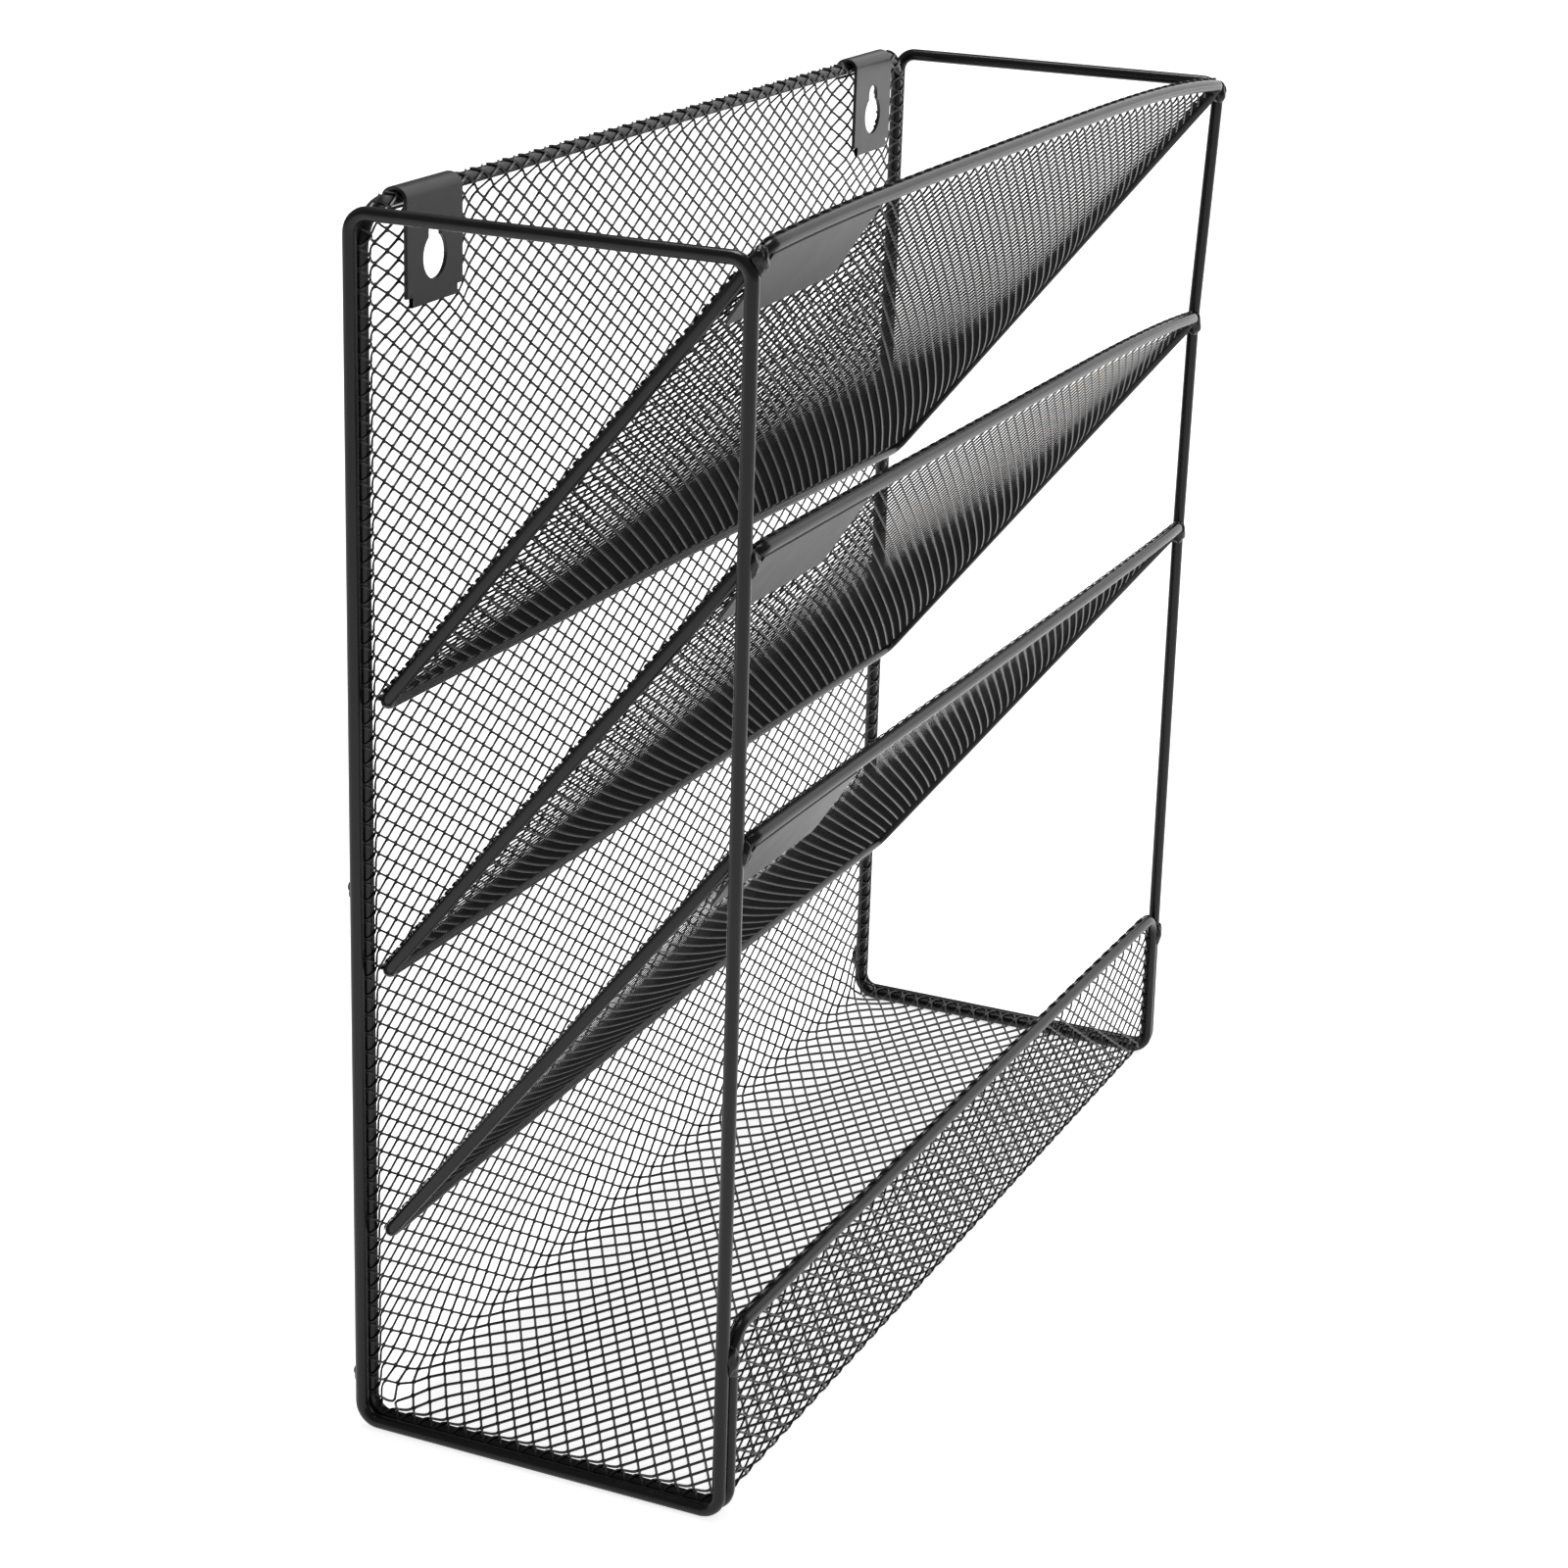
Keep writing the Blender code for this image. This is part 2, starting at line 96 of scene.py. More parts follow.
# Hang tabs
TAB_T = 1.0 * MM
TAB_CHAMFER = 2.5 * MM
TAB_BACK_LENGTH = 7.0 * MM
KEYHOLE_R = 5.5 * MM
KEYHOLE_DROP = 18.5 * MM
SLOT_WIDTH = 5.8 * MM
SLOT_RISE = 9.0 * MM
TAB_FOLD_GAP = 0.3 * MM         # between the top rail and the fold over it
KEYHOLE_MARGIN = 1.8 * MM       # the sheet behind a keyhole is cut this much wider
FINE_REACH = 3 * KEYHOLE_R      # strands have short facets this close to a keyhole's centre
HELD_REACH = 12.0 * MM          # the sheet's slack comes back over this distance beside a tab

# Label plates
LABEL_T = 0.8 * MM
LABEL_LENGTH = 21.5 * MM        # down the pocket, from under the front rim
LABEL_RIGHT = -99.0 * MM
LABEL_TILT = math.radians(5.0)
LABEL_CORNER = 2.5 * MM
LABEL_TUCK = 0.3 * MM           # the top edge starts this far down the pocket from the rim's middle
LABEL_SEAT = 0.72               # share of the rim's radius that it lies under the rim's middle
LABEL_COLUMNS = 25

# Weld drops: half sizes along X, Y and Z, and how far they sink towards the wires
POCKET_WELD = (2.4 * MM, 2.1 * MM, 3.2 * MM)
LIP_WELD = (2.2 * MM, 2.0 * MM, 4.2 * MM)
BACK_WELD = (2.6 * MM, 1.6 * MM, 3.4 * MM)
FRONT_WELD_SINK = 0.9 * MM
BACK_WELD_SINK = -0.3 * MM
WELD_LUMPS = ((1.7, 0.22), (4.5, 0.07))   # noise scale and share of the size, coarse and fine

# Roundness
WIRE_RESOLUTION = 6
BEND_STEPS = 10
WIRE_STEP = 8.0 * MM

# Paints: base grey, roughness, orange-peel scale and refractive index
WIRE_PAINT = (0.006, 0.26, 900.0, 1.34)
MESH_PAINT = (0.008, 0.40, 1500.0, 1.42)
SHEET_PAINT = (0.011, 0.38, 700.0, 1.42)
TONE_SCALE = 90.0
GLOSS_CHANGE = 0.06
PEEL_HEIGHT = 0.04 * MM

# Stage and lights: each light's name, place, target, size and power
WHITE = (1.0, 1.0, 1.0, 1.0)
FLOOR_SIZE = 30.0
FLOOR_COLOUR = (0.8, 0.8, 0.8, 1.0)
FLOOR_GLOW = 0.8
ROOM_STRENGTH = 0.25
AREA_LIGHTS = (
    ("top", (0.3, 0.3, 2.6), (0.0, 0.0, 0.1), 1.0, 46.0),
    ("right_card", (2.2, -0.5, 0.9), (0.0, 0.0, 0.2), 2.4, 24.0),
)

# Camera, angles in degrees
CAMERA_AZIMUTH = -66.075
CAMERA_ELEVATION = 19.499
CAMERA_ROLL = 1.85
CAMERA_PLACE = (-0.84613, -0.36496, 0.46021)
CAMERA_LENS = 79.87


def middle(node):
    """The middle of a CAD node's box."""
    low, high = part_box(node)
    return (low + high) / 2


class Rack:
    """Places and sizes read from the CAD frame."""

    def __init__(self):
        post_low, post_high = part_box("loop_right_front_post")
        self.r = (post_high.x - post_low.x) / 2
        self.x_loop = middle("loop_right_front_post").x
        self.y_loop_front = middle("loop_right_front_post").y
        self.y_loop_back = middle("loop_right_back_post").y
        self.z_loop_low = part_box("loop_right_bottom_bar")[0].z + self.r
        self.z_loop_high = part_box("loop_right_top_bar")[1].z - self.r
        self.x_rim = middle("body_upright_right").x
        self.y_front = middle("body_lip_post_right").y
        self.y_back = middle("body_upright_right").y
        self.z_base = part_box("body_base_rail_right")[0].z + self.r
        self.z_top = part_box("body_top_rail")[1].z - self.r
        self.z_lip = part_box("body_lip_rail")[1].z - self.r
        self.wrap_r = self.r + BODY_STRAND[1] / 2
        self.tab_x = {side: middle(f"hang_tab_{side}").x for side in ("left", "right")}
        low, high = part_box("hang_tab_left")
        self.z_keyhole = high.z - KEYHOLE_DROP
        self.tab_half = (high.x - low.x) / 2
        self.tab_drop = self.z_top - low.z

    def pocket(self, number):
        """Middle of a pocket's front rim and of its bottom rim, as (y, z)."""
        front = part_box(f"pocket_{number}_front_rim")
        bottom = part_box(f"pocket_{number}_bottom_rim")
        return (front[0].y + self.r, front[1].z - self.r), (bottom[1].y - self.r, bottom[0].z + self.r)


def link(name, data):
    """Add an object to the scene."""
    obj = bpy.data.objects.new(name, data)
    bpy.context.scene.collection.objects.link(obj)
    return obj


def adopt(obj, slot, material, *nodes):
    """Let a finished piece ride on the rack's only body and stand for its CAD nodes."""
    obj.data.materials.clear()
    obj.data.materials.append(material)
    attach(obj, "root")
    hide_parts(*nodes)


# ---------------------------------------------------------------- out of true


def post_bow(z):
    """How far the right front post stands back at a height."""
    return np.interp(z, POST_BOW_HEIGHTS, POST_BOW_DEPTHS)


def settle_body(rack, points):
    """Bend the lip's right end down and back, with the post that it is welded to."""
    points = np.array(points, float)
    x, y, z = points.T
    front = 1 - fade(-y, -(rack.y_front + LIP_REACH), LIP_REACH)
    right = front * np.clip(x / rack.x_rim, 0.0, 1.0) ** 2
    points[:, 1] += right * post_bow(z)
    points[:, 2] += right * LIP_RISE * np.clip((z - rack.z_base) / (rack.z_lip - rack.z_base), 0.0, 1.0)
    return points


def settle_pocket(rack, number, points):
    """Bend a pocket's front and bottom wires, and the mesh between them, out of true."""
    points = np.array(points, float)
    (y_front, z_front), (y_back, _) = rack.pocket(number)
    across = np.clip(points[:, 0] / rack.x_rim, -1.0, 1.0)
    down = np.clip((points[:, 1] - y_front) / (y_back - y_front), 0.0, 1.0)
    left, middle_rise, right = (rise * MM for rise in FRONT_RISE[number])
    end = np.where(across > 0, right, left) - middle_rise
    front = middle_rise + end * across**4
    left, middle_rise, right = (rise * MM for rise in BOTTOM_RISE[number])
    bottom = middle_rise + (right - left) / 2 * across + ((right + left) / 2 - middle_rise) * across**2
    points[:, 2] += front * (1 - down) + bottom * down
    points[:, 1] += post_bow(z_front) * np.clip(across, 0.0, 1.0) ** 4 * (1 - down)
    return points


# ---------------------------------------------------------------- wires


def rounded_loop(corners, radii):
    """A closed polyline through the corners, each turned into an arc of its own radius."""
    points = []
    count = len(corners)
    for index in range(count):
        corner = Vector(corners[index])
        inward = (Vector(corners[index - 1]) - corner).normalized()
        onward = (Vector(corners[(index + 1) % count]) - corner).normalized()
        radius = radii[index]
        centre = corner + (inward + onward) * radius
        for step in range(BEND_STEPS + 1):
            turn = math.pi / 2 * step / BEND_STEPS
            points.append(centre - onward * radius * math.cos(turn) - inward * radius * math.sin(turn))
    return points


def divided(points):
    """The same closed polyline with its long sides cut into short steps."""
    path = []
    for start, end in zip(points, points[1:] + points[:1]):
        steps = max(1, math.ceil((end - start).length / WIRE_STEP))
        path += [start.lerp(end, step / steps) for step in range(steps)]
    return path


def wire(name, points, radius):
    """Round wire bent into a closed loop."""
    curve = bpy.data.curves.new(name, "CURVE")
    curve.dimensions = "3D"
    curve.bevel_depth = radius
    curve.bevel_resolution = WIRE_RESOLUTION
    spline = curve.splines.new("POLY")
    spline.points.add(len(points) - 1)
    for point, place in zip(spline.points, points):
        point.co = (*place, 1.0)
    spline.use_cyclic_u = True
    return link(name, curve)


def make_side_loops(rack, paint):
    """The two rectangular side loops; the right one's front post is bowed."""
    for side, sign in (("left", -1), ("right", 1)):
        x = sign * rack.x_loop
        corners = [
            (x, rack.y_loop_front, rack.z_loop_low),
            (x, rack.y_loop_back, rack.z_loop_low),
            (x, rack.y_loop_back, rack.z_loop_high),
            (x, rack.y_loop_front, rack.z_loop_high),
        ]
        path = np.array(divided(rounded_loop(corners, [LOOP_BEND] * 4)))
        if side == "right":
            front = path[:, 1] < rack.y_loop_front + LOOP_BEND
            path[:, 1] += np.where(front, post_bow(path[:, 2]), 0.0)
        loop = wire(f"side_loop_{side}", path, rack.r)
        nodes = [f"loop_{side}_{part}" for part in ("front_post", "back_post", "top_bar", "bottom_bar")]
        adopt(loop, "wire_paint", paint, *nodes)


def make_body_rim(rack, paint):
    """The one wire that frames the mesh body."""
    x = rack.x_rim
    corners = [
        (-x, rack.y_back, rack.z_top),
        (x, rack.y_back, rack.z_top),
        (x, rack.y_back, rack.z_base),
        (x, rack.y_front, rack.z_base),
        (x, rack.y_front, rack.z_lip),
        (-x, rack.y_front, rack.z_lip),
        (-x, rack.y_front, rack.z_base),
        (-x, rack.y_back, rack.z_base),
    ]
    radii = [TOP_BEND, TOP_BEND, BASE_BEND, BASE_BEND, LIP_BEND, LIP_BEND, BASE_BEND, BASE_BEND]
    path = settle_body(rack, divided(rounded_loop(corners, radii)))
    rim = wire("body_rim", path, rack.r)
    nodes = ["body_top_rail", "body_lip_rail"]
    for side in ("left", "right"):
        nodes += [f"body_upright_{side}", f"body_lip_post_{side}", f"body_base_rail_{side}"]
    adopt(rim, "wire_paint", paint, *nodes)


# ---------------------------------------------------------------- expanded metal


def outline_distance(u, v, half, v_low, v_high, radius_low, radius_high):
    """Distance outside a rounded rectangle, the nearest outline point and the way out there."""
    radius = np.where(v < (v_low + v_high) / 2, radius_low, radius_high)
    au = np.abs(u)
    qu = au - (half - radius)
    qv = np.where(v < (v_low + v_high) / 2, v_low + radius - v, v - (v_high - radius))
    in_corner = (qu > 0) & (qv > 0)
    corner_length = np.maximum(np.hypot(qu, qv), 1e-9)
    distance = np.where(in_corner, corner_length, np.maximum(qu, qv)) - radius
    side = ~in_corner & (qu >= qv)
    du = np.where(in_corner, qu / corner_length, np.where(side, 1.0, 0.0)) * np.sign(u)
    end = np.where(v < (v_low + v_high) / 2, -1.0, 1.0)
    dv = np.where(in_corner, qv / corner_length, np.where(side, 0.0, 1.0)) * end
    return distance, u - du * distance, v - dv * distance, du, dv


class BodySheet:
    """The body's bent sheet: u runs along X, v from the lip's top edge down, back and up the back."""

    def __init__(self, rack):
        self.rack = rack
        self.cell = BODY_CELL
        self.strand = BODY_STRAND
        self.bend = BASE_BEND - rack.wrap_r
        self.lip = rack.z_lip - rack.z_base - BASE_BEND
        self.arc = math.pi / 2 * self.bend
        self.base = rack.y_back - rack.y_front - 2 * BASE_BEND
        self.back = rack.z_top - rack.z_base - BASE_BEND
        self.length = self.lip + self.base + self.back + 2 * self.arc
        self.half = rack.x_rim
        self.ends = (0.0, self.length, LIP_BEND, TOP_BEND)
        self.wrap = WRAP_BODY * rack.wrap_r
        self.keyhole_v = self.length - (rack.z_top - rack.z_keyhole)

    def profile(self, v):
        """Point (y, z), direction and normal along the sheet's profile."""
        rack = self.rack
        starts = np.cumsum([0.0, self.lip, self.arc, self.base, self.arc])
        y_in, z_in = rack.y_front + BASE_BEND, rack.z_base + BASE_BEND
        y_out = rack.y_back - BASE_BEND
        turn_1 = np.clip((v - starts[1]) / self.bend, 0.0, math.pi / 2)
        turn_2 = np.clip((v - starts[3]) / self.bend, 0.0, math.pi / 2)
        turn = turn_1 + turn_2
        dy, dz = np.sin(turn), -np.cos(turn)
        on_lip = np.minimum(v, starts[1]) - starts[1]
        on_base = np.clip(v - starts[2], 0.0, self.base)
        on_back = np.maximum(v - starts[4], 0.0)
        y = y_in - self.bend * np.cos(turn_1) + on_base + self.bend * np.sin(turn_2)
        z = z_in - on_lip - self.bend * np.sin(turn_1) + self.bend * (1 - np.cos(turn_2)) + on_back
        y = np.where(v > starts[3], y_out + self.bend * np.sin(turn_2), y)
        return y, z, dy, dz, -dz, dy

    def place(self, u, v):
        """Points in space, and the distance outside the rim's centre line."""
        distance, u0, v0, du, dv = outline_distance(u, v, self.half, *self.ends)
        outside = np.maximum(distance, 0.0)
        u_on = np.where(distance > 0, u0, u)
        v_on = np.where(distance > 0, v0, v)
        y, z, dy, dz, ny, nz = self.profile(v_on)
        radius = self.rack.wrap_r
        turn = outside / radius
        out = radius * np.sin(turn)
        rim_near = fade(-distance, 0.0, SLACK_RAMP)
        slack = BODY_SLACK * (1 - rim_near) * (1 - self.held(u_on, v_on))
        from_bend = (v_on - self.lip - self.arc * 1.5 - self.base) / CORNER_REACH
        cut = CORNER_CUT * (1 - np.clip(from_bend**2, 0.0, 1.0)) ** 2
        back = radius * (1 - np.cos(turn)) + slack - cut * (1 - fade(-distance, 0.0, CORNER_REACH))
        x = u_on + du * out
        y = y + dy * dv * out - ny * back
        z = z + dz * dv * out - nz * back
        return settle_body(self.rack, np.stack([x, y, z], -1)), distance

    def held(self, u, v):
        """How firmly a tab holds the sheet against itself: 1 under the tab, 0 far from it."""
        near = np.zeros(len(u))
        for x in self.rack.tab_x.values():
            near = np.maximum(near, fade(np.abs(u - x), self.rack.tab_half, HELD_REACH))
        return near * fade(self.length - v, self.rack.tab_drop, HELD_REACH)

    def hides(self, u, v):
        """True where the sheet is cut away behind a keyhole."""
        rise = v - self.keyhole_v
        cut = np.zeros(len(u), bool)
        for x in self.rack.tab_x.values():
            in_hole = np.hypot(u - x, rise) < KEYHOLE_R + KEYHOLE_MARGIN
            in_slot = np.abs(u - x) < SLOT_WIDTH / 2 + KEYHOLE_MARGIN
            in_slot &= (rise > 0) & (rise < SLOT_RISE + KEYHOLE_MARGIN)
            cut |= in_hole | in_slot
        return cut

    def is_near_cut(self, u, v):
        """True close to a keyhole, where the strands need short facets."""
        near = np.zeros(len(u), bool)
        for x in self.rack.tab_x.values():
            near |= np.hypot(u - x, v - self.keyhole_v) < FINE_REACH
        return near


class PocketSheet:
    """A pocket's bellied sheet: u runs along X, v from the front rim down to the bottom rim."""

    def __init__(self, rack, number):
        self.rack = rack
        self.number = number
        self.cell = POCKET_CELL
        self.strand = POCKET_STRANDS[number]
        (y_front, z_front), (y_back, z_back) = rack.pocket(number)
        self.start = np.array([0.0, y_front, z_front])
        slope = np.array([0.0, y_back - y_front, z_back - z_front])
        self.length = float(np.linalg.norm(slope))
        self.down = slope / self.length
        self.up = np.array([0.0, -self.down[2], self.down[1]])
        self.half = rack.x_rim
        self.ends = (0.0, self.length, POCKET_BEND, POCKET_BEND)
        self.wrap = WRAP_POCKET * rack.wrap_r

    def belly(self, u, v, distance):
        """How far the sheet stands out of the plane on top of the rim."""
        share = np.clip(v / self.length, 0.0, 1.0)
        across = np.clip(np.abs(u) / self.half, 0.0, 1.0)
        full = POCKET_SAGS[self.number] * 4 * share * (1 - share) * (1 - across**6)
        pressed = fade(u, LABEL_RIGHT, LABEL_BLEND) * fade(v, LABEL_LENGTH, LABEL_BLEND)
        step_down = self.rack.wrap_r * (1 - fade(-distance, 0.0, SLACK_RAMP))
        return full * (1 - LABEL_PRESS * pressed) + step_down

    def place(self, u, v):
        """Points in space, and the distance outside the rim's centre line."""
        distance, u0, v0, du, dv = outline_distance(u, v, self.half, *self.ends)
        outside = np.maximum(distance, 0.0)
        u_on = np.where(distance > 0, u0, u)
        v_on = np.where(distance > 0, v0, v)
        radius = self.rack.wrap_r
        turn = outside / radius
        out = radius * np.sin(turn)
        lift = radius * np.cos(turn) - self.belly(u_on, v_on, distance)
        x = u_on + du * out
        along = v_on + dv * out
        points = self.start + np.outer(along, self.down) + np.outer(lift, self.up)
        points[:, 0] += x
        return settle_pocket(self.rack, self.number, points), distance

    def hides(self, u, v):
        """No part of a pocket's sheet is cut away."""
        return np.zeros(len(u), bool)

    def is_near_cut(self, u, v):
        """No part of a pocket's sheet is cut away."""
        return np.zeros(len(u), bool)


def fade(value, start, length):
    """1 up to start, falling smoothly to 0 over the length after it."""
    share = np.clip((value - start) / length, 0.0, 1.0)
    return 1 - share * share * (3 - 2 * share)


def zigzag(row, sheet):
    """One strand row across the sheet, as (u, v) corners: bonds joined by slanted strands."""
    pitch_u, pitch_v = sheet.cell[0] / 2, sheet.cell[1] / 2
    rise = pitch_v / 2 - sheet.strand[0] / 2
    centre = (row + 0.5) * pitch_v
    steps = int(sheet.half / pitch_u) + 2
    u = []
    v = []
    for step in range(-steps, steps + 1):
        crest = 1 if (step + row) % 2 else -1
        for end in (-1, 1):
            u.append(step * pitch_u + end * BOND_LENGTH / 2)
            v.append(centre + crest * rise)
    return np.array(u), np.array(v)


def refine(u, v, sheet):
    """Split the strands into short facets where they wrap round the rim."""
    distance = outline_distance(u, v, sheet.half, *sheet.ends)[0]
    near = np.maximum(distance[:-1], distance[1:]) > -SLACK_RAMP
    near |= sheet.is_near_cut(u, v)[:-1]
    fine_u = []
    fine_v = []
    for index in range(len(u) - 1):
        length = math.hypot(u[index + 1] - u[index], v[index + 1] - v[index])
        parts = max(1, math.ceil(length / EDGE_STEP)) if near[index] else 1
        share = np.arange(parts) / parts
        fine_u.append(u[index] + (u[index + 1] - u[index]) * share)
        fine_v.append(v[index] + (v[index + 1] - v[index]) * share)
    fine_u.append(u[-1:])
    fine_v.append(v[-1:])
    return np.concatenate(fine_u), np.concatenate(fine_v)


def strand_corners(sheet, u, v):
    """The four long edges of the strands along one row."""
    points, distance = sheet.place(u, v)
    across = sheet.place(u, v + TANGENT_STEP)[0] - sheet.place(u, v - TANGENT_STEP)[0]
    along = sheet.place(u + TANGENT_STEP, v)[0] - sheet.place(u - TANGENT_STEP, v)[0]
    across /= np.linalg.norm(across, axis=1)[:, None]
    normal = np.cross(along, across)
    normal /= np.linalg.norm(normal, axis=1)[:, None]
    broad = across * math.cos(STRAND_LEAN) + normal * math.sin(STRAND_LEAN)
    thick = normal * math.cos(STRAND_LEAN) - across * math.sin(STRAND_LEAN)
    half_broad = broad * sheet.strand[0] / 2
    half_thick = thick * sheet.strand[1] / 2
    corners = np.stack([
        points + half_broad + half_thick,
        points - half_broad + half_thick,
        points - half_broad - half_thick,
        points + half_broad - half_thick,
    ], 1)
    return corners, distance


def weave(sheet, first_row, last_row):
    """Corners and faces of all the strands in a range of rows."""
    verts = []
    faces = []
    count = 0
    for row in range(first_row, last_row):
        u, v = refine(*zigzag(row, sheet), sheet)
        corners, distance = strand_corners(sheet, u, v)
        kept = (distance < sheet.wrap) & ~sheet.hides(u, v)
        edges = np.flatnonzero(np.diff(np.concatenate([[0], kept.astype(int), [0]])))
        for start, stop in zip(edges[::2], edges[1::2]):
            length = stop - start
            if length < 2:
                continue
            verts.append(corners[start:stop].reshape(-1, 3))
            rings = count + 4 * np.arange(length)
            for side in range(4):
                after = (side + 1) % 4
                faces.append(np.stack([rings[:-1] + side, rings[:-1] + after,
                                       rings[1:] + after, rings[1:] + side], 1))
            faces.append(np.array([[rings[0] + 3, rings[0] + 2, rings[0] + 1, rings[0]],
                                   [rings[-1], rings[-1] + 1, rings[-1] + 2, rings[-1] + 3]]))
            count += 4 * length
    return np.concatenate(verts), np.concatenate(faces)


def rows_between(sheet, v_low, v_high):
    """The rows of strands whose middles lie in a stretch of a sheet."""
    pitch = sheet.cell[1] / 2
    return math.ceil(v_low / pitch - 0.5), math.ceil(v_high / pitch - 0.5)


def strand_object(name, sheet, v_low, v_high):
    """The strands of a stretch of a sheet, as one mesh object."""
    verts, faces = weave(sheet, *rows_between(sheet, v_low, v_high))
    mesh = bpy.data.meshes.new(name)
    mesh.from_pydata(verts.tolist(), [], faces.tolist())
    mesh.validate()
    return link(name, mesh)


def make_body_mesh(rack, paint):
    """The mesh body in three pieces of one continuous sheet."""
    sheet = BodySheet(rack)
    lip_end = sheet.lip
    base_end = sheet.lip + sheet.base + 2 * sheet.arc
    stretches = [
        ("lip", -sheet.wrap, lip_end),
        ("base", lip_end, base_end),
        ("back", base_end, sheet.length + sheet.wrap),
    ]
    for part, low, high in stretches:
        piece = strand_object(f"{part}_strands", sheet, low, high)
        adopt(piece, "mesh_paint", paint, f"{part}_mesh")


def make_pocket(rack, number, wire_paint, mesh_paint, label_paint):
    """A pocket's rim wire, its bellied mesh and its label plate."""
    (y_front, z_front), (y_back, z_back) = rack.pocket(number)
    x = rack.x_rim
    corners = [(-x, y_front, z_front), (x, y_front, z_front), (x, y_back, z_back), (-x, y_back, z_back)]
    path = settle_pocket(rack, number, divided(rounded_loop(corners, [POCKET_BEND] * 4)))
    rim = wire(f"pocket_{number}_rim", path, rack.r)
    parts = ("front_rim", "bottom_rim", "side_rim_left", "side_rim_right")
    nodes = [f"pocket_{number}_{part}" for part in parts]
    adopt(rim, "wire_paint", wire_paint, *nodes)
    sheet = PocketSheet(rack, number)
    piece = strand_object(f"pocket_{number}_strands", sheet, -sheet.wrap, sheet.length + sheet.wrap)
    adopt(piece, "mesh_paint", mesh_paint, f"pocket_{number}_mesh")
    make_label(rack, number, sheet, label_paint)


# ---------------------------------------------------------------- plates and welds


def solid_from(name, build):
    """Make an object from a function that fills a bmesh."""
    bm = bmesh.new()
    build(bm)
    bmesh.ops.recalc_face_normals(bm, faces=bm.faces)
    mesh = bpy.data.meshes.new(name)
    bm.to_mesh(mesh)
    bm.free()
    return link(name, mesh)


def soften(obj, width, segments):
    """Round an object's sharp edges a little and shade it smooth between them."""
    bevel = obj.modifiers.new("soft_edges", "BEVEL")
    bevel.width = width
    bevel.segments = segments
    bevel.limit_method = "ANGLE"
    bevel.angle_limit = math.radians(40)
    bevel.harden_normals = True
    obj.data.shade_smooth()


def fill_grid_solid(bm, upper, lower):
    """Join two equal grids of points into one closed body."""
    layers = [[[bm.verts.new(point) for point in row] for row in grid] for grid in (upper, lower)]
    top, bottom = layers
    rows, columns = len(top), len(top[0])
    for r in range(rows - 1):
        for c in range(columns - 1):
            for layer in layers:
                bm.faces.new((layer[r][c], layer[r][c + 1], layer[r + 1][c + 1], layer[r + 1][c]))
        for c in (0, columns - 1):
            bm.faces.new((top[r][c], top[r + 1][c], bottom[r + 1][c], bottom[r][c]))
    for c in range(columns - 1):
        for r in (0, rows - 1):
            bm.faces.new((top[r][c], top[r][c + 1], bottom[r][c + 1], bottom[r][c]))


def make_label(rack, number, sheet, paint):
    """The label plate: a thin plate under the front rim, its lower corners rounded, leaning out."""
    x_left = -(rack.x_rim - rack.r / 2)
    straight = np.linspace(LABEL_TUCK, LABEL_LENGTH - LABEL_CORNER, 8)
    turns = np.linspace(0.0, math.pi / 2 * 0.98, 7)[1:]
    rows = [(drop, 0.0) for drop in straight]
    rows += [(LABEL_LENGTH - LABEL_CORNER * (1 - math.sin(turn)), LABEL_CORNER * (1 - math.cos(turn)))
             for turn in turns]
    grids = []
    for side in (0.0, LABEL_T):
        grid = []
        for drop, inset in rows:
            lift = -rack.r * LABEL_SEAT - drop * math.sin(LABEL_TILT) - side
            x = np.linspace(x_left + inset, LABEL_RIGHT - inset, LABEL_COLUMNS)
            row = sheet.start + drop * sheet.down + lift * sheet.up + np.outer(x, (1.0, 0.0, 0.0))
            grid.append(settle_pocket(rack, number, row))
        grids.append(grid)
    label = solid_from(f"label_{number}", lambda bm: fill_grid_solid(bm, *grids))
    soften(label, 0.15 * MM, 2)
    adopt(label, "label_paint", paint, f"pocket_{number}_label")


def keyhole_outline(rack, x):
    """A keyhole's outline in the XZ plane: a round hole with a slot above it."""
    half = SLOT_WIDTH / 2
    opening = math.asin(half / KEYHOLE_R)
    outline = []
    for turn in np.linspace(math.pi / 2 + opening, 5 * math.pi / 2 - opening, 40):
        outline.append((x + KEYHOLE_R * math.cos(turn), rack.z_keyhole + KEYHOLE_R * math.sin(turn)))
    for turn in np.linspace(0.0, math.pi, 16):
        z_slot = rack.z_keyhole + SLOT_RISE - half
        outline.append((x + half * math.cos(turn), z_slot + half * math.sin(turn)))
    return outline


def fill_prism(bm, outline, y_low, y_high):
    """A prism along Y over an outline in the XZ plane."""
    face = bm.faces.new([bm.verts.new((x, y_low, z)) for x, z in outline])
    extruded = bmesh.ops.extrude_face_region(bm, geom=[face])
    moved = [item for item in extruded["geom"] if isinstance(item, bmesh.types.BMVert)]
    bmesh.ops.translate(bm, verts=moved, vec=(0.0, y_high - y_low, 0.0))


def chamfer_low_corners(bm, z_low):
    """Chamfer the short edges across a strip at its lowest corners."""
    corners = []
    for edge in bm.edges:
        first, second = (vert.co for vert in edge.verts)
        if max(first.z, second.z) < z_low + TAB_T / 2 and abs(first.x - second.x) < TAB_T / 2:
            corners.append(edge)
    bmesh.ops.bevel(bm, geom=corners, offset=TAB_CHAMFER, segments=2, affect="EDGES")


